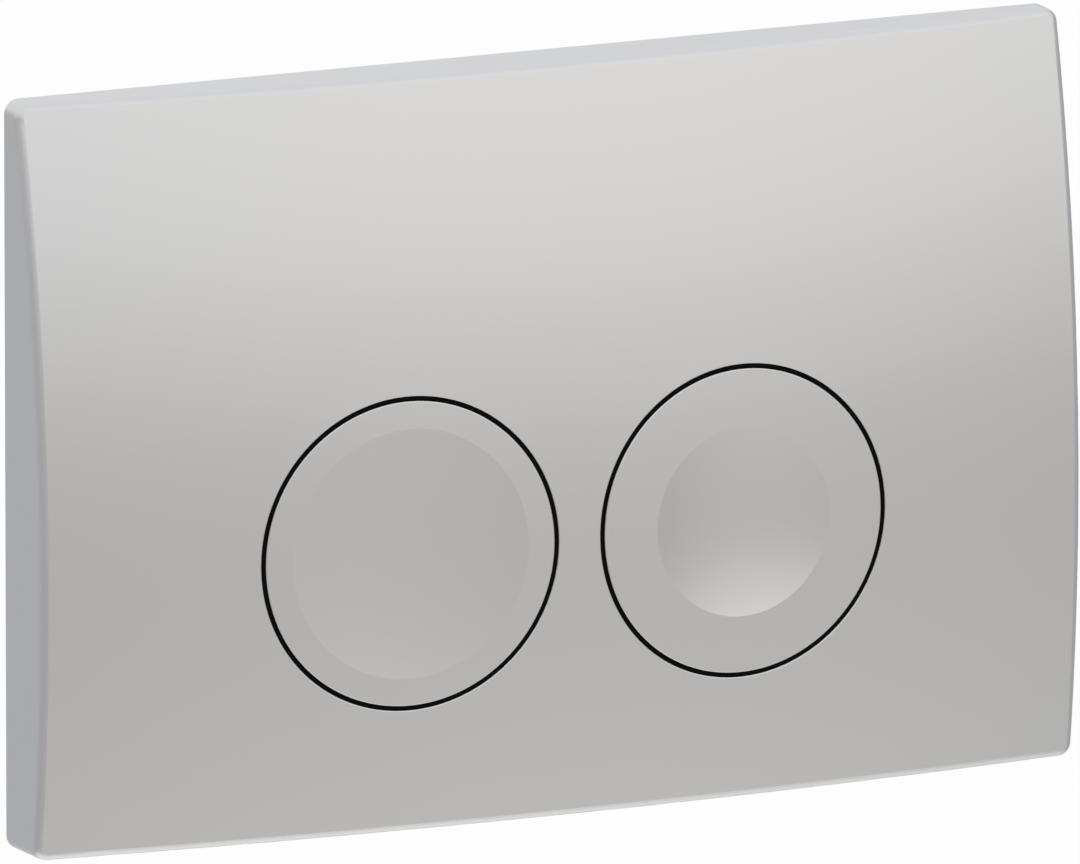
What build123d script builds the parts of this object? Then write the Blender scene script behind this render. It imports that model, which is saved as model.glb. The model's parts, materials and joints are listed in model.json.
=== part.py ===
from build123d import *
import os
from math import asin, cos, degrees, radians, sin, sqrt

# Dual flush button plate for a cistern built into a wall.
#
# A bowed cover hooks over a frame on the wall. Two round buttons slide straight
# back through the cover, each against its own coil spring, and each pushes a rod
# that reaches through the wall to the flush valve.
#
# Every piece is modelled with the wall as the XY plane: x across, y up and z out
# of the wall towards the user. On export the whole set is stood up, so that +Z is
# up, the user is on the -Y side and the origin is on the wall behind the middle of
# the plate. Sizes are in millimetres.

# Cover
plate_width = 246.0
plate_height = 164.0
plate_depth = 26.4
plate_wall = 2.5
corner_radius = 3.2
edge_radius = 1.8
side_draft = 1.0
crown_drop = 2.0
vertical_bow_radius = 430.0
horizontal_bow_radius = 975.0
rib_height = 3.0
rib_thickness = 1.6
cross_rib_height = 46.0

# Buttons
button_diameter = 66.7
button_web = 11.8
button_margin = 28.65
button_gap = 1.0
button_travel = 5.5
button_edge_radius = 0.25
cap_wall = 2.4
skirt_wall = 2.0
full_dish_diameter = 54.6
full_dish_depth = 2.0
partial_dish_diameter = 41.8
partial_dish_depth = 2.3

# Guide rings
guide_clearance = 0.15
ring_wall = 2.0
ring_length = 10.0
ring_recess = 0.3
collar_wall = 2.0

# Plungers
disc_thickness = 2.0
hub_rise = 3.7
hub_roof = 1.5
hub_wall = 1.4
hub_skirt = 1.5
stem_diameter = 10.0
leg_count = 4
leg_radius = 22.0
leg_width = 6.0
leg_thickness = 2.0
nib_reach = 1.5
nib_height = 1.6
nib_lead = 1.0
bead_height = 0.8
bead_reach = 0.4

# Return springs
spring_diameter = 19.0
spring_wire = 1.1
spring_turns = 4

# Bearing plate
bearing_thickness = 2.5
bearing_margin = 4.0
bearing_corner_radius = 18.0
bearing_flange = 3.0
bearing_rib = 1.6
stem_guide_wall = 1.6
stem_guide_length = 5.0
spigot_height = 1.0
stop_height = 2.0
stop_width = 3.0
stop_seat_depth = 0.6
boss_diameter = 8.0
boss_gap = 1.5
middle_boss_reach = 28.0

# Bearing plate screws
screw_diameter = 3.2
screw_grip = 7.0
screw_head_diameter = 6.4
screw_head_height = 2.2
screw_head_chamfer = 0.6

# Wall frame
frame_thickness = 4.5
frame_web = 2.0
frame_rib = 1.6
frame_rib_pitch = 27.0
frame_margin = 9.5
frame_corner_radius = 8.0
window_clearance = 4.0
bar_height = 6.0
upper_bar_height = 10.0
upper_window_corner_radius = 4.0
bridge_height = 26.0
bridge_thickness = 3.0
bridge_wall = 3.0
bridge_rib = 1.6
bridge_rib_height = 2.5
hook_spacing = 120.0
lug_width = 14.0
lug_height = 6.0
lug_thickness = 1.9
lug_lead = 1.2
hook_thickness = 2.0
tongue_width = 12.0
tongue_length = 7.5
tongue_thickness = 1.8
catch_height = 5.0
catch_thickness = 2.2
catch_lead = 1.6
catch_overlap = 2.5

# Fixing bolts
bolt_diameter = 8.0
bolt_reach = 45.0
bolt_neck_diameter = 9.0
bolt_neck_reach = 1.0
bolt_head_diameter = 18.0
bolt_head_height = 3.5
bolt_head_chamfer = 1.0
bolt_slot_length = 22.0
bolt_chamfer = 1.0
coin_slot_width = 2.0
coin_slot_depth = 1.6

# Push rods
rod_diameter = 6.0
rod_reach = 65.0
rod_tip_chamfer = 1.0
rod_groove_depth = 0.5
rod_groove_width = 2.0
rod_groove_pitch = 4.0
rod_groove_count = 4
sleeve_diameter = 11.0
sleeve_length = 24.0
sleeve_roof = 4.0
rod_head_diameter = 16.0
rod_head_height = 2.5
bush_wall = 2.5
bush_flange = 2.0
bush_flange_height = 1.1
bush_length = 8.0

# Clearances
seat_clearance = 0.05
running_clearance = 0.08
fit_clearance = 0.2
hook_clearance = 0.3
wall_clearance = 0.5
head_clearance = 1.5

# How far cutters and trimmed pieces reach past what they meet
past = 5.0
bow_backing = 60.0

# Button places, from the middle of the plate, and the level of the bow's crown below them
button_spacing = button_diameter + button_web
button_height = -plate_height / 2 + button_margin + button_diameter / 2
crown_height = button_height - crown_drop

# Radii
button_radius = button_diameter / 2
skirt_radius = button_radius - skirt_wall
aperture_radius = button_radius + button_gap
guide_radius = button_radius + guide_clearance
ring_radius = guide_radius + ring_wall
collar_inner_radius = ring_radius + seat_clearance
collar_radius = collar_inner_radius + collar_wall
stem_radius = stem_diameter / 2
stem_bore_radius = stem_radius + running_clearance
stem_guide_radius = stem_bore_radius + stem_guide_wall
spring_inner_radius = (spring_diameter - spring_wire) / 2
spring_outer_radius = (spring_diameter + spring_wire) / 2
leg_inner_radius = leg_radius - leg_thickness / 2
leg_outer_radius = leg_radius + leg_thickness / 2
stop_inner_radius = leg_outer_radius + nib_reach + hook_clearance
stop_outer_radius = stop_inner_radius + stop_width
bush_bore_radius = sleeve_diameter / 2 + running_clearance
bush_radius = bush_bore_radius + bush_wall


def surface_height(x, y):
    """How far the bowed front stands out from the wall at a point."""
    drop = vertical_bow_radius - sqrt(vertical_bow_radius**2 - (y - crown_height) ** 2)
    plan_radius = horizontal_bow_radius - drop
    return plate_depth - horizontal_bow_radius + sqrt(plan_radius**2 - x**2)


# Levels above the wall, from the front back to the rods
button_crest = surface_height(button_spacing / 2, button_height)
cap_underside = button_crest - max(full_dish_depth, partial_dish_depth) - cap_wall
disc_front = cap_underside - fit_clearance - hub_rise
disc_back = disc_front - disc_thickness
bead_middle = disc_back + disc_thickness / 2
stop_front = disc_back - button_travel - seat_clearance
bearing_front = stop_front - stop_height
bearing_back = bearing_front - bearing_thickness
ring_back = button_crest - plate_wall - ring_length
rod_front = bearing_back - hook_clearance
rod_head_back = rod_front - rod_head_height
sleeve_back = rod_head_back - sleeve_length
bush_front = rod_head_back - button_travel - hook_clearance
bridge_front = bush_front - bush_flange_height
bridge_back = bridge_front - bridge_thickness

# Outlines
bearing_height = 2 * (ring_radius + bearing_margin)
bearing_width = button_spacing + bearing_height
window_width = bearing_width + 2 * window_clearance
window_height = bearing_height + 2 * window_clearance
window_corner_radius = bearing_corner_radius + window_clearance
frame_width = plate_width - 2 * (plate_wall + frame_margin)
frame_height = plate_height - 2 * (plate_wall + frame_margin)
frame_top = frame_height / 2
frame_foot = -frame_height / 2

# Places
button_places = {
    "full": Location((-button_spacing / 2, button_height, 0)),
    "partial": Location((button_spacing / 2, button_height, 0)),
}
dishes = {
    "full": (full_dish_diameter / 2, full_dish_depth),
    "partial": (partial_dish_diameter / 2, partial_dish_depth),
}
bolt_across = (frame_width + window_width) / 4
bolt_places = {
    "left": Location((-bolt_across, button_height, 0)),
    "right": Location((bolt_across, button_height, 0)),
}
hook_places = [-hook_spacing / 2, hook_spacing / 2]
boss_reach = (collar_radius + boss_gap + boss_diameter / 2) * cos(radians(45))
boss_across = button_spacing / 2 + boss_reach
boss_offsets = [(sx * boss_across, sy * boss_reach) for sx in (-1, 1) for sy in (-1, 1)]
boss_offsets += [(0, -middle_boss_reach), (0, middle_boss_reach)]
boss_places = [Location((x, button_height + y, 0)) for x, y in boss_offsets]
leg_turns = [Rot(0, 0, 45 + 360 * n / leg_count) for n in range(leg_count)]


def disc(radius, back, front):
    """A round bar along z between two levels."""
    return Pos(0, 0, back) * extrude(Circle(radius), front - back)


def tube(inner, outer, back, front):
    """A round tube along z between two levels."""
    return Pos(0, 0, back) * extrude(Circle(outer) - Circle(inner), front - back)


def slab(width, height, back, front, x=0.0, y=0.0):
    """A block between two levels, centred on a point."""
    return Pos(x, y, back) * extrude(Rectangle(width, height), front - back)


def bar(width, x, *section):
    """A bar along x, centred on x, whose section is given by points in y and z."""
    face = make_face(Polyline(*section, close=True))
    return Pos(x, 0, 0) * extrude(Plane.YZ * face, width / 2, both=True)


def bow(inset):
    """Everything behind the bowed front, moved back by inset."""
    radius = vertical_bow_radius - inset
    centre = plate_depth - vertical_bow_radius
    low = -plate_height / 2 - past
    high = plate_height / 2 + past

    def on_arc(y):
        return (y, centre + sqrt(radius**2 - (y - crown_height) ** 2))

    arc = ThreePointArc(on_arc(low), on_arc(crown_height), on_arc(high))
    back = Polyline(on_arc(high), (high, -bow_backing), (low, -bow_backing), on_arc(low))
    reach = asin((plate_width / 2 + past) / (horizontal_bow_radius - bow_backing))
    hinge = Axis((0, 0, plate_depth - horizontal_bow_radius), (0, 1, 0))
    profile = (Plane.YZ * make_face([arc, back])).rotate(hinge, -degrees(reach))
    return revolve(profile, hinge, 2 * degrees(reach))


def outline(inset):
    """The drafted outline of the cover, taken in by inset all round."""
    corner = max(corner_radius - inset, edge_radius / 2)
    base = RectangleRounded(plate_width - 2 * inset, plate_height - 2 * inset, corner)
    return extrude(base, plate_depth + past, taper=side_draft)


def dish_cutter(kind, inset):
    """What is scooped out of a button, grown by inset to leave room for the scoop's wall.

    The scoop bends against the bow, so that its rim is a true circle on the bowed front.
    """
    rim, depth = dishes[kind]
    centre = button_places[kind].position
    tilt_x = asin(centre.X / horizontal_bow_radius)
    tilt_y = asin((centre.Y - crown_height) / vertical_bow_radius)
    seat = Plane(
        origin=(centre.X, centre.Y, button_crest),
        x_dir=(cos(tilt_x), 0, -sin(tilt_x)),
        z_dir=(sin(tilt_x), sin(tilt_y), cos(tilt_x) * cos(tilt_y)),
    )
    bend = 2 * depth / rim**2
    upright_radius = 1 / (bend - 1 / vertical_bow_radius) + inset
    level_radius = 1 / (bend - 1 / horizontal_bow_radius) + inset
    bottom = -depth - inset

    def on_arc(y):
        return (y, bottom + upright_radius - sqrt(upright_radius**2 - y**2))

    low, middle, high = on_arc(-button_radius), on_arc(0), on_arc(button_radius)
    top = high[1] + past
    arc = ThreePointArc(low, middle, high)
    front = Polyline(high, (button_radius, top), (-button_radius, top), low)
    reach = asin(button_radius / level_radius)
    hinge = Axis((0, 0, bottom + level_radius), (0, 1, 0))
    profile = (Plane.YZ * make_face([arc, front])).rotate(hinge, -degrees(reach))
    return seat * revolve(profile, hinge, 2 * degrees(reach))


def cover_hook(x):
    """The shelf and lip that hang the cover on a lug of the frame."""
    shelf_low = frame_top + lug_height + hook_clearance
    shelf_top = shelf_low + hook_thickness
    lip_low = frame_top + 2 * hook_clearance
    lip_front = frame_thickness - lug_thickness - hook_clearance
    return bar(
        lug_width,
        x,
        (lip_low, wall_clearance),
        (shelf_top, wall_clearance),
        (shelf_top, plate_depth),
        (shelf_low, plate_depth),
        (shelf_low, lip_front),
        (lip_low, lip_front),
    )


def cover_catch(x):
    """The ridge on the cover's lower wall that snaps in behind a tongue of the frame."""
    top = frame_foot - catch_height + catch_overlap
    foot = -(plate_height - plate_wall) / 2
    front = frame_thickness + tongue_length - catch_thickness - hook_clearance
    return bar(
        tongue_width,
        x,
        (foot, front),
        (top, front),
        (top, front - catch_thickness + catch_lead),
        (foot, front - catch_thickness - catch_lead),
    )


def make_front_plate():
    body = outline(0) & bow(0)
    body = fillet(body.faces().sort_by(Axis.Z)[-1].edges(), edge_radius)
    for place in button_places.values():
        body -= place * disc(aperture_radius, -past, plate_depth + past)
    rims = [wire.edges() for wire in body.faces().sort_by(Axis.Z)[-1].inner_wires()]
    body = fillet([edge for rim in rims for edge in rim], button_edge_radius)
    body -= outline(plate_wall) & bow(plate_wall)

    skin = bow(plate_wall / 2)
    for place in button_places.values():
        body += (place * tube(collar_inner_radius, collar_radius, ring_back, plate_depth)) & skin
    for place in boss_places:
        body += (place * disc(boss_diameter / 2, bearing_front, plate_depth)) & skin
    for x in hook_places:
        body += cover_hook(x) & skin
        body += cover_catch(x)

    rib_layer = skin - bow(plate_wall + rib_height)
    rib_top = (plate_height - plate_wall) / 2
    collar_top = button_height + collar_radius
    strips = [slab(plate_width - plate_wall, rib_thickness, 0, plate_depth, 0, cross_rib_height)]
    for n in (-2.5, -1.5, -0.5, 0.5, 1.5, 2.5):
        x = n * button_spacing / 2
        foot = -rib_top if abs(x) > button_spacing else collar_top
        strip = slab(rib_thickness, rib_top - foot, 0, plate_depth, x, (rib_top + foot) / 2)
        strips.append(strip)
    for strip in strips:
        body += strip & rib_layer

    pilot_radius = screw_diameter / 2 + seat_clearance
    pilot_front = bearing_front + screw_grip + fit_clearance
    for place in boss_places:
        body -= place * disc(pilot_radius, bearing_front, pilot_front)
    return body


def make_button(kind):
    place = button_places[kind]
    body = (place * disc(button_radius, disc_back, plate_depth + past)) & bow(0)
    body = fillet(body.faces().sort_by(Axis.Z)[-1].edges(), button_edge_radius)
    body -= dish_cutter(kind, 0)
    hollow = (place * disc(skirt_radius, disc_back, plate_depth)) & bow(cap_wall)
    body -= hollow - dish_cutter(kind, cap_wall)
    groove_radius = skirt_radius - fit_clearance + bead_reach + seat_clearance
    groove_half = bead_height / 2 + seat_clearance
    body -= place * disc(groove_radius, bead_middle - groove_half, bead_middle + groove_half)
    return body


def hub_top(kind):
    """The level of a plunger's hub, just behind the button's dish."""
    return button_crest - dishes[kind][1] - cap_wall - fit_clearance


def hook_leg():
    """A leg with a nib that catches behind the bearing plate, with a lead to snap it in."""
    nib_front = bearing_back - fit_clearance
    nib_back = nib_front - nib_height
    nib_radius = leg_outer_radius + nib_reach
    section = make_face(
        Polyline(
            (leg_inner_radius, disc_front),
            (leg_outer_radius, disc_front),
            (leg_outer_radius, nib_front),
            (nib_radius, nib_front),
            (nib_radius, nib_front - nib_height + nib_lead),
            (leg_outer_radius, nib_back),
            (leg_inner_radius, nib_back),
            close=True,
        )
    )
    upright = Rot(90, 0, 0) * section
    return extrude(upright, leg_width / 2, both=True)


def make_plunger(kind):
    rim = skirt_radius - fit_clearance
    hub_inner_radius = spring_outer_radius + fit_clearance
    hub_back = disc_back - hub_skirt
    front = hub_top(kind)
    body = disc(rim, disc_back, disc_front)
    body += disc(rim + bead_reach, bead_middle - bead_height / 2, bead_middle + bead_height / 2)
    body += disc(hub_inner_radius + hub_wall, hub_back, front)
    body -= disc(hub_inner_radius, hub_back, front - hub_roof)
    body += disc(stem_radius, bearing_back, front)
    for turn in leg_turns:
        body += turn * hook_leg()
    return button_places[kind] * body


def make_return_spring(kind):
    back = bearing_front
    front = hub_top(kind) - hub_roof
    pitch = (front - back + spring_wire) / (spring_turns + 1)
    length = front - back + 2 * spring_wire
    start = (0, 0, back - spring_wire)
    path = Helix(pitch, length, spring_diameter / 2, center=start)
    section = Plane(origin=path @ 0, z_dir=path % 0) * Rectangle(spring_wire, spring_wire)
    coil = sweep(section, path, is_frenet=True)
    return button_places[kind] * (coil & disc(spring_diameter, back, front))


def make_guide_ring(kind):
    place = button_places[kind]
    lip_radius = aperture_radius - seat_clearance
    body = place * tube(guide_radius, ring_radius, ring_back, plate_depth)
    lip = place * tube(guide_radius, lip_radius, ring_back, plate_depth)
    return (body & bow(plate_wall + seat_clearance)) + (lip & bow(ring_recess))


def make_stop_ring(kind):
    back = bearing_front - stop_seat_depth
    return button_places[kind] * tube(stop_inner_radius, stop_outer_radius, back, stop_front)


def make_bearing_plate():
    sheet = RectangleRounded(bearing_width, bearing_height, bearing_corner_radius)
    flange = sheet - offset(sheet, -bearing_rib)
    flange_back = bearing_back - bearing_flange
    body = Pos(0, button_height, bearing_back) * extrude(sheet, bearing_thickness)
    body += Pos(0, button_height, flange_back) * extrude(flange, bearing_flange)

    retainer_radius = guide_radius + hook_clearance
    head_room = rod_head_diameter / 2 + head_clearance
    window_inner = leg_inner_radius - nib_reach - hook_clearance
    window_outer = leg_outer_radius + hook_clearance
    window_middle = (window_inner + window_outer) / 2
    for place in button_places.values():
        body += place * tube(retainer_radius, ring_radius, bearing_front, ring_back - seat_clearance)
        body += place * disc(stem_guide_radius, bearing_front, bearing_front + stem_guide_length)
        spigot_radius = spring_inner_radius - fit_clearance
        body += place * disc(spigot_radius, bearing_front, bearing_front + spigot_height)
        spoke = slab(bearing_height - bearing_rib, bearing_rib, flange_back, bearing_back)
        body += place * spoke
        body += place * Rot(0, 0, 90) * spoke
        body -= place * disc(head_room, flange_back, bearing_back)
        body -= place * disc(stem_bore_radius, bearing_back, plate_depth)
        body -= place * tube(
            stop_inner_radius - seat_clearance,
            stop_outer_radius + seat_clearance,
            bearing_front - stop_seat_depth,
            bearing_front,
        )
        window = slab(
            window_outer - window_inner,
            leg_width + 2 * hook_clearance,
            bearing_back,
            bearing_front,
            window_middle,
        )
        for turn in leg_turns:
            body -= place * turn * window
    for place in boss_places:
        body -= place * disc(screw_diameter / 2 + fit_clearance, bearing_back, bearing_front)
    return body


def make_bearing_plate_screws():
    """One screw at every boss, as separate solids."""
    head_back = bearing_back - screw_head_height
    head = disc(screw_head_diameter / 2, head_back, bearing_back)
    head = chamfer(head.edges().group_by(Axis.Z)[0], screw_head_chamfer)
    screw = head + disc(screw_diameter / 2, bearing_back, bearing_front + screw_grip)
    return Compound([place * screw for place in boss_places])


def frame_sheet(inset):
    """The flat outline of the frame, with every edge taken in by inset."""
    grown = 2 * inset
    sheet = RectangleRounded(frame_width - grown, frame_height - grown, frame_corner_radius - inset)
    sheet -= Pos(0, button_height) * RectangleRounded(
        window_width + grown, window_height + grown, window_corner_radius + inset
    )
    upper_low = button_height + window_height / 2 + bar_height
    upper_top = frame_top - upper_bar_height
    sheet -= Pos(0, (upper_low + upper_top) / 2) * RectangleRounded(
        window_width + grown, upper_top - upper_low + grown, upper_window_corner_radius + inset
    )
    slot_width = bolt_neck_diameter + 2 * hook_clearance
    slot = Rot(0, 0, 90) * SlotOverall(bolt_slot_length + grown, slot_width + grown)
    for place in bolt_places.values():
        sheet -= place * slot
    return sheet


def frame_pockets():
    """The pockets in the frame's back, which leave a web, ribs along its edges and cross ribs."""
    pockets = extrude(frame_sheet(frame_rib), frame_thickness - frame_web)
    columns = int(frame_width / 2 / frame_rib_pitch)
    rows = int(frame_height / 2 / frame_rib_pitch)
    for n in range(-columns, columns + 1):
        pockets -= slab(frame_rib, frame_height, 0, frame_thickness, n * frame_rib_pitch)
    for n in range(-rows, rows + 1):
        pockets -= slab(frame_width, frame_rib, 0, frame_thickness, 0, n * frame_rib_pitch)
    return pockets


def frame_bridge():
    """The ribbed bridge across the window that carries the rod bushes behind the wall plane."""
    outer = slab(window_width, bridge_height, bridge_back, frame_thickness)
    inner_width = window_width - 2 * bridge_wall
    body = outer - slab(inner_width, bridge_height, bridge_front, frame_thickness)
    edge = (bridge_height - bridge_rib) / 2
    for y in (-edge, edge):
        body += slab(window_width, bridge_rib, bridge_back - bridge_rib_height, bridge_back, 0, y)
    return Pos(0, button_height, 0) * body


def frame_lug(x):
    """A lug that the cover hangs on, with a lead at its tip."""
    back = frame_thickness - lug_thickness
    top = frame_top + lug_height
    return bar(
        lug_width,
        x,
        (frame_top - frame_rib, back),
        (top - lug_lead, back),
        (top, back + lug_lead),
        (top, frame_thickness),
        (frame_top - frame_rib, frame_thickness),
    )


def frame_tongue(x):
    """A tongue whose nib snaps over the cover's catch."""
    front = frame_thickness + tongue_length
    nib_back = front - catch_thickness
    nib_foot = frame_foot - catch_height
    return bar(
        tongue_width,
        x,
        (frame_foot, frame_thickness - frame_web),
        (frame_foot, nib_back),
        (nib_foot, nib_back),
        (nib_foot, front - catch_lead),
        (frame_foot, front),
        (frame_foot + tongue_thickness, front),
        (frame_foot + tongue_thickness, frame_thickness - frame_web),
    )


def make_mounting_frame():
    body = extrude(frame_sheet(0), frame_thickness) - frame_pockets()
    body += frame_bridge()
    for x in hook_places:
        body += frame_lug(x)
        body += frame_tongue(x)
    for place in button_places.values():
        body -= place * disc(bush_radius + seat_clearance, bridge_back, bridge_front)
    return body


def make_fixing_bolt(side):
    thread = disc(bolt_diameter / 2, -bolt_reach, -bolt_neck_reach)
    thread = chamfer(thread.edges().group_by(Axis.Z)[0], bolt_chamfer)
    neck = disc(bolt_neck_diameter / 2, -bolt_neck_reach, frame_thickness)
    front = frame_thickness + bolt_head_height
    head = disc(bolt_head_diameter / 2, frame_thickness, front)
    head = chamfer(head.edges().group_by(Axis.Z)[-1], bolt_head_chamfer)
    coin_slot = slab(bolt_head_diameter, coin_slot_width, front - coin_slot_depth, front)
    return bolt_places[side] * (thread + neck + head - coin_slot)


def make_rod_bush(kind):
    body = tube(bush_bore_radius, bush_radius, bridge_front - bush_length, bridge_front)
    body += tube(bush_bore_radius, bush_radius + bush_flange, bridge_front, bush_front)
    return button_places[kind] * body


def make_rod_sleeve(kind):
    body = disc(rod_head_diameter / 2, rod_head_back, rod_front)
    body += disc(sleeve_diameter / 2, sleeve_back, rod_head_back)
    body -= disc(rod_diameter / 2 + running_clearance, sleeve_back, rod_front - sleeve_roof)
    return button_places[kind] * body


def make_push_rod(kind):
    radius = rod_diameter / 2
    body = disc(radius, -rod_reach, rod_front - sleeve_roof - fit_clearance)
    body = chamfer(body.edges().group_by(Axis.Z)[0], rod_tip_chamfer)
    for n in range(rod_groove_count):
        front = sleeve_back - rod_groove_width - n * rod_groove_pitch
        body -= tube(radius - rod_groove_depth, radius + past, front - rod_groove_width, front)
    return button_places[kind] * body


def make_parts():
    """Every piece by its node name."""
    parts = {
        "front_plate": make_front_plate(),
        "bearing_plate": make_bearing_plate(),
        "bearing_plate_screws": make_bearing_plate_screws(),
        "mounting_frame": make_mounting_frame(),
    }
    for kind in button_places:
        parts[f"{kind}_flush_button"] = make_button(kind)
        parts[f"{kind}_button_plunger"] = make_plunger(kind)
        parts[f"{kind}_return_spring"] = make_return_spring(kind)
        parts[f"{kind}_guide_ring"] = make_guide_ring(kind)
        parts[f"{kind}_stop_ring"] = make_stop_ring(kind)
        parts[f"{kind}_rod_bush"] = make_rod_bush(kind)
        parts[f"{kind}_rod_sleeve"] = make_rod_sleeve(kind)
        parts[f"{kind}_push_rod"] = make_push_rod(kind)
    for side in bolt_places:
        parts[f"{side}_fixing_bolt"] = make_fixing_bolt(side)
    return parts


os.makedirs("parts", exist_ok=True)
stand_up = Plane.XZ.location
for node, shape in make_parts().items():
    export_step(stand_up * shape, f"parts/{node}.step")
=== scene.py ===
"""Looks of a dual flush button plate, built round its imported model."""

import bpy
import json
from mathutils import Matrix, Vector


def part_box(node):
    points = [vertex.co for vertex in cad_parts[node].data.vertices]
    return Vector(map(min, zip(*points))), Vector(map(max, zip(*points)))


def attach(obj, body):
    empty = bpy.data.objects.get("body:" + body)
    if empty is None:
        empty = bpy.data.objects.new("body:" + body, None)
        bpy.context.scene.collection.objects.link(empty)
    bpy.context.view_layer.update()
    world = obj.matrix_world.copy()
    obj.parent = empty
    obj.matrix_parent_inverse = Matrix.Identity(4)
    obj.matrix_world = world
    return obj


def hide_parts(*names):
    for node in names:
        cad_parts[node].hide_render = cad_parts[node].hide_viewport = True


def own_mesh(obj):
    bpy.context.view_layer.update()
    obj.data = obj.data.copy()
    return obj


bl_info = {
    "name": "Flush Button Plate",
    "version": (1, 0, 0),
    "blender": (4, 5, 0),
    "location": "View3D > Sidebar > Flush Plate",
    "description": "Finishes, springs, bolts, screws and studio of a dual flush button plate",
    "category": "Object",
}

import json
import math

import bmesh
import bpy
from bpy.props import FloatProperty, FloatVectorProperty, IntProperty, PointerProperty
from mathutils import Matrix, Vector

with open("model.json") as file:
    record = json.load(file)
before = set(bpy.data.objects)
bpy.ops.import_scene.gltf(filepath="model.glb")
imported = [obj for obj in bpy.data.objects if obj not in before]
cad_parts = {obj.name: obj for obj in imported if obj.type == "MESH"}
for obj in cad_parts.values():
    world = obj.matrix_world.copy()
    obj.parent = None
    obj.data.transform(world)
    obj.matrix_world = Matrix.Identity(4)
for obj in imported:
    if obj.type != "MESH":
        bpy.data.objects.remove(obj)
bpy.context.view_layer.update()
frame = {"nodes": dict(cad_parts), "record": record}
nodes = frame["nodes"]

KINDS = ("full", "partial")
SIDES = ("left", "right")
WHITE = (1, 1, 1, 1)
# Edges that turn by more than this stay sharp
SHARP_ANGLE = math.radians(35)

# Moulded finishes: colour, roughness, size and depth of the mould's grain in metres, and gloss
MOULDINGS = {
    # The guide rings' near-black with almost no gloss is partly their moulding's colour and partly
    # painted shade of the gap round each button
    "black_moulding": ("black", 0.62, 0.0004, 0.00001, 0.05),
    "white_moulding": ("white", 0.48, 0.0006, 0.000012, 0.5),
    "frame_moulding": ("grey", 0.55, 0.0005, 0.00002, 0.5),
    "rod_moulding": ("blue", 0.30, 0.0012, 0.000008, 0.5),
    "bush_moulding": ("white", 0.36, 0.0010, 0.000008, 0.5),
    "soft_stop": ("rubber", 0.75, 0.0003, 0.00002, 0.5),
}

# Greys of the studio tent by height, which is a share of its radius
TENT = (
    (-0.50, (0.705, 0.703, 0.685)),
    (-0.10, (0.504, 0.490, 0.472)),
    (0.25, (0.840, 0.855, 0.885)),
    (0.60, (0.872, 0.893, 0.930)),
)
# Soft-edged panels on the tent: how far round from the right and how far up their middles lie
# and how wide they spread, in degrees, and their greys
PANELS = {
    "back": (122, -28, 40, (0.525, 0.540, 0.575)),
    "left": (-152, -38, 77, (0.455, 0.455, 0.472)),
    "right": (12, -18, 66, (0.440, 0.450, 0.468)),
    "front": (-63, 24, 37, (1.012, 1.008, 1.0)),
}
# The heights at which the tent's white foot starts and is full, as shares of its radius
FOOT_START, FOOT_FULL = -0.55, -0.95

# Where the soft lamps stand, in metres, and their power in watts
LAMPS = {
    "front_lamp": ((-1.2, -1.7, 1.5), 30.0),
    "front_fill": ((1.6, -1.2, 0.6), 14.0),
    "back_lamp": ((1.3, 1.7, 1.5), 30.0),
    "back_fill": ((-1.6, 1.2, 0.6), 14.0),
}
LAMP_SIZE = 1.4


# Settings


def colour_property(name, description, default):
    """A colour that the user can change, in linear light."""
    return FloatVectorProperty(
        name=name, description=description, default=default, subtype="COLOR", size=3, min=0.0, max=1.0
    )


def length_property(name, description, default):
    """A length that the user can change, in metres."""
    return FloatProperty(
        name=name, description=description, default=default, unit="LENGTH", precision=5, min=0.0
    )


def share_property(name, description, default):
    """A share from none to all that the user can change."""
    return FloatProperty(
        name=name, description=description, default=default, subtype="FACTOR", min=0.0, max=1.0
    )


def angle_property(name, description, degrees):
    """An angle that the user can change, given here in degrees."""
    return FloatProperty(
        name=name, description=description, default=math.radians(degrees), subtype="ANGLE"
    )


class FlushPlateFinishes(bpy.types.PropertyGroup):
    """Colours and gloss of the plate's surfaces."""

    chrome: colour_property("Chrome", "Satin chrome of the cover and buttons", (0.735, 0.73, 0.725))
    chrome_roughness: share_property("Chrome roughness", "How far the satin chrome blurs", 0.30)
    chrome_grain: length_property("Chrome grain", "Size of the satin's grain", 0.00022)
    # The guide rings' black is partly their own colour and partly painted shade of the gap round each
    # button
    black: colour_property("Black", "Guide rings round the buttons", (0.002, 0.002, 0.0022))
    white: colour_property("White", "Inner mouldings", (0.80, 0.80, 0.78))
    grey: colour_property("Grey", "Frame on the wall", (0.42, 0.44, 0.46))
    blue: colour_property("Blue", "Push rods", (0.10, 0.24, 0.42))
    rubber: colour_property("Rubber", "Soft stops", (0.05, 0.05, 0.055))
    steel: colour_property("Steel", "Spring wire", (0.56, 0.57, 0.58))
    zinc: colour_property("Zinc", "Plated bolts and screws", (0.60, 0.61, 0.62))


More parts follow.
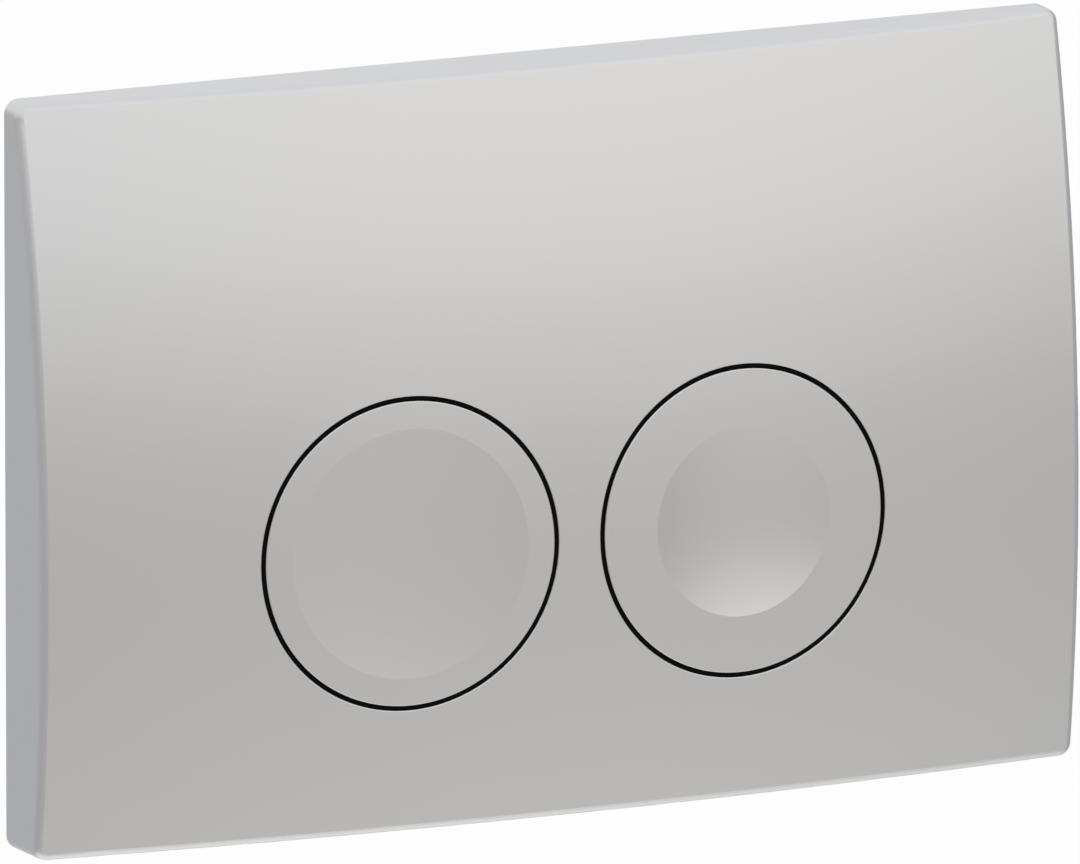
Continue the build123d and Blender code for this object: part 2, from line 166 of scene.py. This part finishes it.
class FlushPlateFixings(bpy.types.PropertyGroup):
    """Sizes of the springs, bolts and screws."""

    wire: length_property("Wire", "Thickness of the spring wire", 0.0011)
    turns: FloatProperty(name="Turns", description="Open turns of each spring", default=4.0, min=1.0)
    thread_steps: IntProperty(name="Thread steps", description="Steps in each turn", default=36, min=12)
    bolt_pitch: length_property("Bolt pitch", "Pitch of the bolts' thread", 0.00125)
    bolt_depth: length_property("Bolt depth", "Depth of the bolts' thread", 0.00068)
    bolt_head: length_property("Bolt head", "Height of the bolts' heads", 0.0035)
    bolt_neck: length_property("Bolt neck", "Diameter of the bolts' necks", 0.0090)
    slot_width: length_property("Slot width", "Width of the bolts' coin slot", 0.0020)
    slot_depth: length_property("Slot depth", "Depth of the bolts' coin slot", 0.0016)
    screw_pitch: length_property("Screw pitch", "Pitch of the screws' thread", 0.00134)
    screw_depth: length_property("Screw depth", "Depth of the screws' thread", 0.00045)
    screw_head: length_property("Screw head", "Height of the screws' heads", 0.0022)
    screw_shank: length_property("Screw shank", "Diameter of the screws' thread", 0.0032)
    recess_span: length_property("Recess span", "Length of the screws' cross recess", 0.0038)
    recess_width: length_property("Recess width", "Width of the screws' cross recess", 0.0009)
    recess_depth: length_property("Recess depth", "Depth of the screws' cross recess", 0.0011)


class FlushPlateStudio(bpy.types.PropertyGroup):
    """Camera, floor and light."""

    azimuth: angle_property("Azimuth", "Camera's turn to the left of the plate", 24.671)
    elevation: angle_property("Elevation", "Camera's height above the plate", 12.372)
    distance: length_property("Distance", "From the camera to the plate", 7.738795)
    lens: FloatProperty(
        name="Lens", description="Focal length in millimetres", default=1200.0, unit="CAMERA", min=1.0
    )
    aim_right: length_property("Aim right", "How far right of the origin the camera aims", 0.0024418)
    aim_down: length_property("Aim down", "How far below the origin the camera aims", 0.0017064)
    floor_drop: length_property("Floor drop", "From the plate's middle down to the floor", 2.1)
    floor: colour_property("Floor", "Pale floor", (0.90, 0.90, 0.90))
    ambient: share_property("Ambient", "Light from all round", 0.55)
    tent_radius: length_property("Tent radius", "Radius of the studio tent round the part", 2.0)


class FlushPlateSettings(bpy.types.PropertyGroup):
    """All settings of the flush plate."""

    finishes: PointerProperty(type=FlushPlateFinishes)
    fixings: PointerProperty(type=FlushPlateFixings)
    studio: PointerProperty(type=FlushPlateStudio)


# Shader building


def new_material(name):
    """An empty material with its principled shader."""
    material = bpy.data.materials.new(name)
    material.use_nodes = True
    return material, material.node_tree, material.node_tree.nodes["Principled BSDF"]


def add_node(tree, kind, settings=None, **sockets):
    """A shader node with its settings, its socket values and its incoming links."""
    node = tree.nodes.new(kind)
    for key, value in (settings or {}).items():
        setattr(node, key, value)
    for key, value in sockets.items():
        socket = node.inputs[int(key[1:])] if key[1:].isdigit() else node.inputs[key.replace("_", " ")]
        if isinstance(value, bpy.types.NodeSocket):
            tree.links.new(value, socket)
        else:
            socket.default_value = value
    return node


def show(tree, surface):
    """Makes a shader the one that its material shows."""
    tree.links.new(surface, tree.nodes["Material Output"].inputs["Surface"])


def mix_shader(tree, share, first, second):
    """A shader that gives way to a second one by a share."""
    return add_node(tree, "ShaderNodeMixShader", _0=share, _1=first, _2=second).outputs["Shader"]


def mix_colour(tree, share, first, second):
    """A colour that gives way to a second one by a share."""
    mix = add_node(tree, "ShaderNodeMix", {"data_type": "RGBA"}, Factor=share, A=first, B=second)
    return mix.outputs["Result"]


def place(tree):
    """The point being shaded, in the object's own frame and in metres."""
    return add_node(tree, "ShaderNodeTexCoord").outputs["Object"]


def noise(tree, size, detail):
    """A soft noise whose features are about the given size in metres."""
    return add_node(
        tree, "ShaderNodeTexNoise", Vector=place(tree), Scale=1.0 / size, Detail=detail
    ).outputs["Fac"]


def around(tree, value, middle, spread):
    """A value from none to all, stretched to a spread on both sides of a middle."""
    low, high = middle - spread, middle + spread
    node = add_node(tree, "ShaderNodeMapRange", Value=value, To_Min=low, To_Max=high)
    return node.outputs["Result"]


def within(tree, value, low, high, way="LINEAR"):
    """A value from a range, stretched from none to all."""
    settings = {"interpolation_type": way}
    node = add_node(tree, "ShaderNodeMapRange", settings, Value=value, From_Min=low, From_Max=high)
    return node.outputs["Result"]


def ramp(tree, value, stops):
    """A colour ramp through stops from none to all."""
    node = add_node(tree, "ShaderNodeValToRGB", Fac=value)
    elements = node.color_ramp.elements
    while len(elements) < len(stops):
        elements.new(0.5)
    for element, (position, colour) in zip(elements, stops):
        element.position = position
        element.color = (*colour, 1)
    return node.outputs["Color"]


def shade_of(tree, value, colour, spread):
    """A colour that is a little darker and lighter in places."""
    dark = [c * (1 - spread) for c in colour]
    light = [min(1.0, c * (1 + spread)) for c in colour]
    return mix_colour(tree, value, (*dark, 1), (*light, 1))


def roughen(tree, shader, height, depth, strength):
    """A fine relief on the surface, from a height and its depth in metres."""
    bump = add_node(tree, "ShaderNodeBump", Height=height, Distance=depth, Strength=strength)
    tree.links.new(bump.outputs["Normal"], shader.inputs["Normal"])


def satin_chrome(finishes):
    """Bead-blasted chrome: one even blur, with a grain that shows only close up."""
    material, tree, shader = new_material("satin_chrome")
    shader.inputs["Metallic"].default_value = 1.0
    cloud = noise(tree, size=0.045, detail=2.0)
    grain = noise(tree, size=finishes.chrome_grain, detail=2.0)
    tree.links.new(shade_of(tree, cloud, finishes.chrome, spread=0.006), shader.inputs["Base Color"])
    blur = around(tree, grain, finishes.chrome_roughness, spread=0.03)
    tree.links.new(blur, shader.inputs["Roughness"])
    roughen(tree, shader, grain, depth=0.000004, strength=0.35)
    return material


def moulded(name, colour, roughness, grain_size, grain_depth, gloss):
    """A moulded plastic with its mould's fine texture and slight flow marks."""
    material, tree, shader = new_material(name)
    shader.inputs["Specular IOR Level"].default_value = gloss
    flow = noise(tree, size=0.018, detail=3.0)
    grain = noise(tree, size=grain_size, detail=4.0)
    tree.links.new(shade_of(tree, flow, colour, spread=0.035), shader.inputs["Base Color"])
    tree.links.new(around(tree, grain, roughness, spread=0.06), shader.inputs["Roughness"])
    roughen(tree, shader, grain, depth=grain_depth, strength=0.5)
    return material


def bright_metal(name, colour, roughness, cloud_size):
    """A bright metal with cloudy plating and fine scratches."""
    material, tree, shader = new_material(name)
    shader.inputs["Metallic"].default_value = 1.0
    cloud = noise(tree, size=cloud_size, detail=4.0)
    grain = noise(tree, size=0.0003, detail=3.0)
    tree.links.new(shade_of(tree, cloud, colour, spread=0.08), shader.inputs["Base Color"])
    tree.links.new(around(tree, cloud, roughness, spread=0.08), shader.inputs["Roughness"])
    roughen(tree, shader, grain, depth=0.00001, strength=0.3)
    return material


def dress(material, *names):
    """Gives CAD nodes a finish."""
    for name in names:
        nodes[name].material_slots[0].material = material


def pair(piece):
    """The names of a piece that there is one of for each button."""
    return [f"{kind}_{piece}" for kind in KINDS]


# Mesh building


def new_piece(name, mesh, material, body, slot, *replaced):
    """A new object that rides on a body and stands for CAD nodes."""
    piece = bpy.data.objects.new(name, mesh)
    bpy.context.scene.collection.objects.link(piece)
    piece.data.materials.clear()
    piece.data.materials.append(material)
    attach(piece, body)
    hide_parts(*replaced)
    return piece


def smooth(mesh):
    """Makes a mesh smooth but for its sharp edges."""
    mesh.shade_smooth()
    mesh.set_sharp_from_angle(angle=SHARP_ANGLE)


def finished_mesh(bm, name):
    """A smooth mesh from bmesh, which is used up."""
    bmesh.ops.recalc_face_normals(bm, faces=bm.faces)
    mesh = bpy.data.meshes.new(name)
    bm.to_mesh(mesh)
    bm.free()
    smooth(mesh)
    return mesh


def axis_of(node):
    """Where a round node's axis, which lies along Y, crosses X and Z."""
    low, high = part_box(node)
    return Vector(((low.x + high.x) / 2, 0, (low.z + high.z) / 2))


def around_axis(axis, radius, angle, y):
    """A point at a distance from an axis along Y."""
    return axis + Vector((radius * math.cos(angle), y, radius * math.sin(angle)))


def add_loops(bm, loops):
    """Faces between rings with the same number of points, with both end rings filled."""
    rows = [[bm.verts.new(p) for p in loop] for loop in loops]
    for a, b in zip(rows, rows[1:]):
        for n in range(len(a)):
            m = (n + 1) % len(a)
            bm.faces.new((a[n], a[m], b[m], b[n]))
    bm.faces.new(rows[0])
    bm.faces.new(list(reversed(rows[-1])))


def add_lathe(bm, axis, profile, steps):
    """A turned solid round an axis along Y, from pairs of radius and Y."""
    turn = 2 * math.pi / steps
    loops = [[around_axis(axis, radius, n * turn, y) for n in range(steps)] for radius, y in profile]
    add_loops(bm, loops)


def add_box(bm, low, high):
    """A block between two corners."""
    size = high - low
    matrix = Matrix.Translation((low + high) / 2) @ Matrix.Diagonal((*size, 1))
    bmesh.ops.create_cube(bm, size=1.0, matrix=matrix)


def cut(mesh, cutter, name):
    """A mesh with another one cut out of it."""
    body = bpy.data.objects.new(name, mesh)
    tool = bpy.data.objects.new(f"{name}_cutter", cutter)
    for thing in (body, tool):
        bpy.context.scene.collection.objects.link(thing)
    boolean = body.modifiers.new("cut", "BOOLEAN")
    boolean.object = tool
    boolean.operation = "DIFFERENCE"
    boolean.solver = "EXACT"
    depsgraph = bpy.context.evaluated_depsgraph_get()
    result = bpy.data.meshes.new_from_object(body.evaluated_get(depsgraph))
    for thing in (body, tool):
        bpy.data.objects.remove(thing)
    smooth(result)
    return result


# Springs


def coil_mesh(node, wire, turns):
    """A coil of round wire in the space of a spring node, with a closed turn at each end."""
    steps_per_turn, sides, nudge = 48, 14, 0.002
    low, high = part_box(node)
    axis = axis_of(node)
    radius = (high.x - low.x - wire) / 2
    first = low.y + wire / 2
    last = high.y - wire / 2
    rise = (last - first - 2 * wire) / turns
    total = int(round((turns + 2) * steps_per_turn))

    def height(turn):
        if turn < 1:
            return first + wire * turn
        if turn > turns + 1:
            return last - wire * (turns + 2 - turn)
        return first + wire + rise * (turn - 1)

    def point(turn):
        return around_axis(axis, radius, 2 * math.pi * turn, height(turn))

    bm = bmesh.new()
    loops = []
    for n in range(total + 1):
        turn = n / steps_per_turn
        centre = point(turn)
        along = (point(turn + nudge) - point(turn - nudge)).normalized()
        outward = (centre - axis - Vector((0, centre.y, 0))).normalized()
        across = along.cross(outward).normalized()
        outward = across.cross(along)
        loops.append([
            centre + wire / 2 * (math.cos(a) * outward + math.sin(a) * across)
            for a in (2 * math.pi * k / sides for k in range(sides))
        ])
    add_loops(bm, loops)
    return finished_mesh(bm, f"{node}_coil")


# Bolts and screws


def add_thread(bm, axis, core, crest, first, last, pitch, steps):
    """A thread round an axis along Y that runs out to its core at both ends."""
    # The points of one ridge: where they lie, as shares of the pitch, and how far out
    shares = (0.0, 0.375, 0.5, 0.875)
    radii = (core, crest, crest, core)
    weld = 1e-7
    turns = math.ceil((last - first) / pitch) + 2
    rows = []
    for n in range(turns * steps + 1):
        angle = 2 * math.pi * n / steps
        row = []
        for share, radius in zip(shares, radii):
            y = min(max(first + pitch * (n / steps + share - 1), first), last)
            radius = min(radius, core + min(last - y, y - first))
            row.append(bm.verts.new(around_axis(axis, radius, angle, y)))
        rows.append(row)
    for a, b in zip(rows, rows[1:]):
        for k in range(len(shares) - 1):
            bm.faces.new((a[k], a[k + 1], b[k + 1], b[k]))
    for n in range(len(rows) - steps - 1):
        above, beside = rows[n + steps], rows[n + steps + 1]
        bm.faces.new((rows[n][-1], above[0], beside[0], rows[n + 1][-1]))
    bmesh.ops.remove_doubles(bm, verts=bm.verts, dist=weld)
    bmesh.ops.dissolve_degenerate(bm, edges=bm.edges, dist=weld)
    bmesh.ops.holes_fill(bm, edges=[e for e in bm.edges if e.is_boundary], sides=0)


def rounded(radius, y, fillet, towards):
    """Points of a turned edge with a fillet, from its side to its end, which faces towards."""
    steps = 5
    turns = [math.pi / 2 * n / steps for n in range(steps + 1)]
    return [
        (radius - fillet * (1 - math.cos(t)), y - towards * fillet * (1 - math.sin(t))) for t in turns
    ]


def bolt_mesh(node, fixings):
    """A fixing bolt with a coin slot in its head and a rolled thread."""
    neck_end, head_fillet, head_steps = 0.001, 0.001, 72
    low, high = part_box(node)
    axis = axis_of(node)
    dims = {m["name"]: m["dims"] for m in frame["record"]["mounts"]}
    crest = dims[node.replace("_fixing_bolt", "_bolt")]["r_mm"] / 1000
    core = crest - fixings.bolt_depth
    seat = low.y + fixings.bolt_head
    neck = fixings.bolt_neck / 2
    head_radius = high.x - axis.x
    name = f"{node}_threaded"

    head = bmesh.new()
    profile = [(neck, neck_end), (neck, seat), (head_radius, seat)]
    profile += rounded(head_radius, low.y, head_fillet, -1)
    add_lathe(head, axis, profile, head_steps)
    slot = bmesh.new()
    half = Vector((high.x - low.x, 0, fixings.slot_width / 2))
    floor = Vector((0, low.y + fixings.slot_depth, 0))
    above = Vector((0, low.y - fixings.slot_depth, 0))
    add_box(slot, axis + above - half, axis + floor + half)
    mesh = cut(finished_mesh(head, name), finished_mesh(slot, f"{name}_slot"), name)

    bm = bmesh.new()
    start = neck_end - fixings.bolt_depth
    add_thread(bm, axis, core, crest, start, high.y, fixings.bolt_pitch, fixings.thread_steps)
    bm.from_mesh(mesh)
    return finished_mesh(bm, name)


def loose_places(node):
    """The axes of a node's separate round solids, which lie along Y, from left to right."""
    weld = 1e-6
    bm = bmesh.new()
    bm.from_mesh(nodes[node].data)
    bm.transform(nodes[node].matrix_world)
    bmesh.ops.remove_doubles(bm, verts=bm.verts, dist=weld)
    left = set(bm.verts)
    places = []
    while left:
        ends = [left.pop()]
        island = list(ends)
        while ends:
            vert = ends.pop()
            beside = {edge.other_vert(vert) for edge in vert.link_edges} & left
            left -= beside
            ends += beside
            island += beside
        across = [v.co.x for v in island]
        up = [v.co.z for v in island]
        places.append(Vector(((min(across) + max(across)) / 2, 0, (min(up) + max(up)) / 2)))
    bm.free()
    return sorted(places, key=lambda spot: (round(spot.x, 4), round(spot.z, 4)))


def screws_mesh(node, fixings):
    """Pan head screws with cross recesses, one at each of the node's solids."""
    head_fillet, head_steps = 0.0014, 40
    first_turn, next_turn = 10, 35
    low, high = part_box(node)
    places = loose_places(node)
    seat = high.y - fixings.screw_head
    crest = fixings.screw_shank / 2
    core = crest - fixings.screw_depth
    head_radius = high.x - max(p.x for p in places)
    origin = Vector()

    head = bmesh.new()
    profile = [(crest, seat), (head_radius, seat)]
    profile += rounded(head_radius, high.y, head_fillet, 1)
    add_lathe(head, origin, profile, head_steps)
    mesh = finished_mesh(head, "screw_head")
    span, width = fixings.recess_span, fixings.recess_width
    for across, up in ((span, width), (width, span)):
        recess = bmesh.new()
        half = Vector((across / 2, fixings.recess_depth, up / 2))
        middle = Vector((0, high.y, 0))
        add_box(recess, middle - half, middle + half)
        mesh = cut(mesh, finished_mesh(recess, "screw_recess"), "screw_head")

    screw = bmesh.new()
    end = seat + fixings.screw_depth
    add_thread(screw, origin, core, crest, low.y, end, fixings.screw_pitch, fixings.thread_steps)
    screw.from_mesh(mesh)
    one = finished_mesh(screw, "screw")

    bm = bmesh.new()
    for n, spot in enumerate(places):
        copy = one.copy()
        turn = Matrix.Rotation(math.radians(next_turn * n + first_turn), 4, "Y")
        copy.transform(Matrix.Translation(spot) @ turn)
        bm.from_mesh(copy)
    return finished_mesh(bm, f"{node}_recessed")


# Studio


def make_camera(scene, studio):
    """The photograph's viewpoint."""
    a, e = studio.azimuth, studio.elevation
    forward = Vector((math.sin(a) * math.cos(e), math.cos(a) * math.cos(e), -math.sin(e)))
    right = Vector((math.cos(a), -math.sin(a), 0))
    up = right.cross(forward)
    data = bpy.data.cameras.new("camera")
    data.lens = studio.lens
    camera = bpy.data.objects.new("camera", data)
    target = right * studio.aim_right - up * studio.aim_down
    camera.location = target - forward * studio.distance
    camera.rotation_euler = forward.to_track_quat("-Z", "Y").to_euler()
    scene.collection.objects.link(camera)
    scene.camera = camera


def seen_directly(tree):
    """All for rays that show the background: straight, mirrored or through glass."""
    path = add_node(tree, "ShaderNodeLightPath").outputs
    share = path["Is Camera Ray"]
    for ray in ("Is Glossy Ray", "Is Transmission Ray"):
        larger = add_node(tree, "ShaderNodeMath", {"operation": "MAXIMUM"}, _0=share, _1=path[ray])
        share = larger.outputs["Value"]
    return share


def make_world(scene, studio):
    """White all round, and a softer light on the part."""
    world = bpy.data.worlds.new("white_surroundings")
    world.use_nodes = True
    tree = world.node_tree
    tree.nodes.clear()
    light = add_node(tree, "ShaderNodeBackground", Color=WHITE, Strength=studio.ambient)
    backdrop = add_node(tree, "ShaderNodeBackground", Color=WHITE, Strength=1.0)
    surface = mix_shader(
        tree, seen_directly(tree), light.outputs["Background"], backdrop.outputs["Background"]
    )
    add_node(tree, "ShaderNodeOutputWorld", Surface=surface)
    scene.world = world


def make_floor(scene, studio):
    """A pale floor far below the plate, white but for the part's shadow, and clear from below."""
    half, roughness, white_share = 30.0, 0.9, 0.97
    bm = bmesh.new()
    bmesh.ops.create_grid(bm, x_segments=1, y_segments=1, size=half)
    floor = bpy.data.objects.new("floor", finished_mesh(bm, "floor"))
    floor.location.z = -studio.floor_drop
    scene.collection.objects.link(floor)

    material, tree, shader = new_material("pale_floor")
    shader.inputs["Base Color"].default_value = (*studio.floor, 1)
    shader.inputs["Roughness"].default_value = roughness
    shader.inputs["Specular IOR Level"].default_value = 0.0
    white = add_node(tree, "ShaderNodeEmission", Color=WHITE, Strength=1.0).outputs["Emission"]
    seen = seen_directly(tree)
    share = add_node(tree, "ShaderNodeMath", {"operation": "MULTIPLY"}, _0=seen, _1=white_share)
    upper = mix_shader(tree, share.outputs["Value"], shader.outputs["BSDF"], white)
    clear = add_node(tree, "ShaderNodeBsdfTransparent").outputs["BSDF"]
    from_below = add_node(tree, "ShaderNodeNewGeometry").outputs["Backfacing"]
    show(tree, mix_shader(tree, from_below, upper, clear))
    floor.data.materials.append(material)


def make_tent(scene, studio):
    """A tent round the part, seen only in what shines, with a soft panel on each side."""
    radius = studio.tent_radius
    bm = bmesh.new()
    bmesh.ops.create_uvsphere(bm, u_segments=64, v_segments=48, radius=radius)
    tent = bpy.data.objects.new("studio_tent", finished_mesh(bm, "studio_tent"))
    scene.collection.objects.link(tent)
    for ray in ("camera", "diffuse", "transmission", "volume_scatter", "shadow"):
        setattr(tent, f"visible_{ray}", False)

    material, tree, shader = new_material("studio_tent")
    tree.nodes.remove(shader)
    spot = place(tree)
    up = add_node(tree, "ShaderNodeSeparateXYZ", Vector=spot).outputs["Z"]
    stops = [((height + 1) / 2, grey) for height, grey in TENT]
    colour = ramp(tree, within(tree, up, -radius, radius), stops)
    for *angles, grey in PANELS.values():
        turn, rise, spread = (math.radians(a) for a in angles)
        middle = (math.cos(rise) * math.cos(turn), math.cos(rise) * math.sin(turn), math.sin(rise))
        facing = add_node(tree, "ShaderNodeVectorMath", {"operation": "DOT_PRODUCT"}, _0=spot, _1=middle)
        edge = radius * math.cos(spread)
        share = within(tree, facing.outputs["Value"], edge, radius, "SMOOTHSTEP")
        colour = mix_colour(tree, share, colour, (*grey, 1))
    foot = within(tree, up, radius * FOOT_START, radius * FOOT_FULL)
    glow = add_node(tree, "ShaderNodeEmission", Color=mix_colour(tree, foot, colour, WHITE))
    show(tree, glow.outputs["Emission"])
    tent.data.materials.append(material)


def make_lamps(scene):
    """Large soft lamps that light the front and the back alike."""
    for name, (spot, power) in LAMPS.items():
        data = bpy.data.lights.new(name, "AREA")
        data.energy = power
        data.size = LAMP_SIZE
        lamp = bpy.data.objects.new(name, data)
        lamp.location = spot
        lamp.rotation_euler = (-Vector(spot)).to_track_quat("-Z", "Y").to_euler()
        lamp.visible_glossy = False
        scene.collection.objects.link(lamp)


# Operators


class FLUSHPLATE_OT_studio(bpy.types.Operator):
    """Camera, white surroundings, floor, studio tent and soft lamps"""

    bl_idname = "flush_plate.studio"
    bl_label = "Studio"

    def execute(self, context):
        scene = context.scene
        studio = scene.flush_plate.studio
        scene.view_settings.view_transform = "Standard"
        make_camera(scene, studio)
        make_world(scene, studio)
        make_floor(scene, studio)
        make_tent(scene, studio)
        make_lamps(scene)
        return {"FINISHED"}


class FLUSHPLATE_OT_chrome(bpy.types.Operator):
    """Satin chrome on the cover and the buttons"""

    bl_idname = "flush_plate.chrome"
    bl_label = "Chrome Cover and Buttons"

    def execute(self, context):
        chrome = satin_chrome(context.scene.flush_plate.finishes)
        dress(chrome, "front_plate", *pair("flush_button"))
        return {"FINISHED"}


class FLUSHPLATE_OT_mouldings(bpy.types.Operator):
    """Finishes of the moulded plastic and rubber pieces"""

    bl_idname = "flush_plate.mouldings"
    bl_label = "Mouldings"

    def execute(self, context):
        finishes = context.scene.flush_plate.finishes
        made = {}
        for name, (colour, *look) in MOULDINGS.items():
            made[name] = moulded(name, getattr(finishes, colour), *look)
        # The guide rings' black is partly their own colour and partly painted shade of the gap round
        # each button
        dress(made["black_moulding"], *pair("guide_ring"))
        dress(made["white_moulding"], "bearing_plate", *pair("button_plunger"))
        dress(made["frame_moulding"], "mounting_frame")
        dress(made["rod_moulding"], *pair("push_rod"))
        dress(made["bush_moulding"], *pair("rod_bush"), *pair("rod_sleeve"))
        dress(made["soft_stop"], *pair("stop_ring"))
        return {"FINISHED"}


class FLUSHPLATE_OT_springs(bpy.types.Operator):
    """Round wire springs, held on the cover and frame in place of the spring nodes"""

    bl_idname = "flush_plate.springs"
    bl_label = "Return Springs"

    def execute(self, context):
        settings = context.scene.flush_plate
        wire = bright_metal("spring_steel", settings.finishes.steel, roughness=0.26, cloud_size=0.002)
        for kind in KINDS:
            node = f"{kind}_return_spring"
            low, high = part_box(node)
            mesh = coil_mesh(node, settings.fixings.wire, settings.fixings.turns)
            piece = new_piece(f"{kind}_coil", mesh, wire, "cover_and_frame", "spring_steel", node)
            anchor = axis_of(node)
            anchor.y = high.y
            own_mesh(piece)
        return {"FINISHED"}


class FLUSHPLATE_OT_fasteners(bpy.types.Operator):
    """Threaded fixing bolts with coin slots, and screws with cross recesses"""

    bl_idname = "flush_plate.fasteners"
    bl_label = "Bolts and Screws"

    def execute(self, context):
        settings = context.scene.flush_plate
        zinc = bright_metal("plated_steel", settings.finishes.zinc, roughness=0.32, cloud_size=0.004)
        for side in SIDES:
            node = f"{side}_fixing_bolt"
            mesh = bolt_mesh(node, settings.fixings)
            new_piece(f"{side}_threaded_bolt", mesh, zinc, "cover_and_frame", "plated_steel", node)
        node = "bearing_plate_screws"
        mesh = screws_mesh(node, settings.fixings)
        new_piece("recessed_screws", mesh, zinc, "cover_and_frame", "plated_steel", node)
        return {"FINISHED"}


OPERATORS = (
    FLUSHPLATE_OT_studio,
    FLUSHPLATE_OT_chrome,
    FLUSHPLATE_OT_mouldings,
    FLUSHPLATE_OT_springs,
    FLUSHPLATE_OT_fasteners,
)


class FLUSHPLATE_PT_panel(bpy.types.Panel):
    """Steps that dress the flush plate, and their settings"""

    bl_idname = "FLUSHPLATE_PT_panel"
    bl_label = "Flush Plate"
    bl_space_type = "VIEW_3D"
    bl_region_type = "UI"
    bl_category = "Flush Plate"

    def draw(self, context):
        settings = context.scene.flush_plate
        for operator in OPERATORS:
            self.layout.operator(operator.bl_idname)
        for group in (settings.finishes, settings.fixings, settings.studio):
            box = self.layout.box()
            for name in group.__annotations__:
                box.prop(group, name)


CLASSES = (
    FlushPlateFinishes,
    FlushPlateFixings,
    FlushPlateStudio,
    FlushPlateSettings,
    *OPERATORS,
    FLUSHPLATE_PT_panel,
)


def register():
    """Makes the settings, steps and panel known to Blender."""
    for cls in CLASSES:
        bpy.utils.register_class(cls)
    bpy.types.Scene.flush_plate = PointerProperty(type=FlushPlateSettings)


def unregister():
    """Takes the settings, steps and panel away again."""
    del bpy.types.Scene.flush_plate
    for cls in reversed(CLASSES):
        bpy.utils.unregister_class(cls)


def main():
    """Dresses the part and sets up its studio."""
    register()
    bpy.ops.flush_plate.studio()
    bpy.ops.flush_plate.chrome()
    bpy.ops.flush_plate.mouldings()
    bpy.ops.flush_plate.springs()
    bpy.ops.flush_plate.fasteners()


if __name__ == "__main__":
    main()
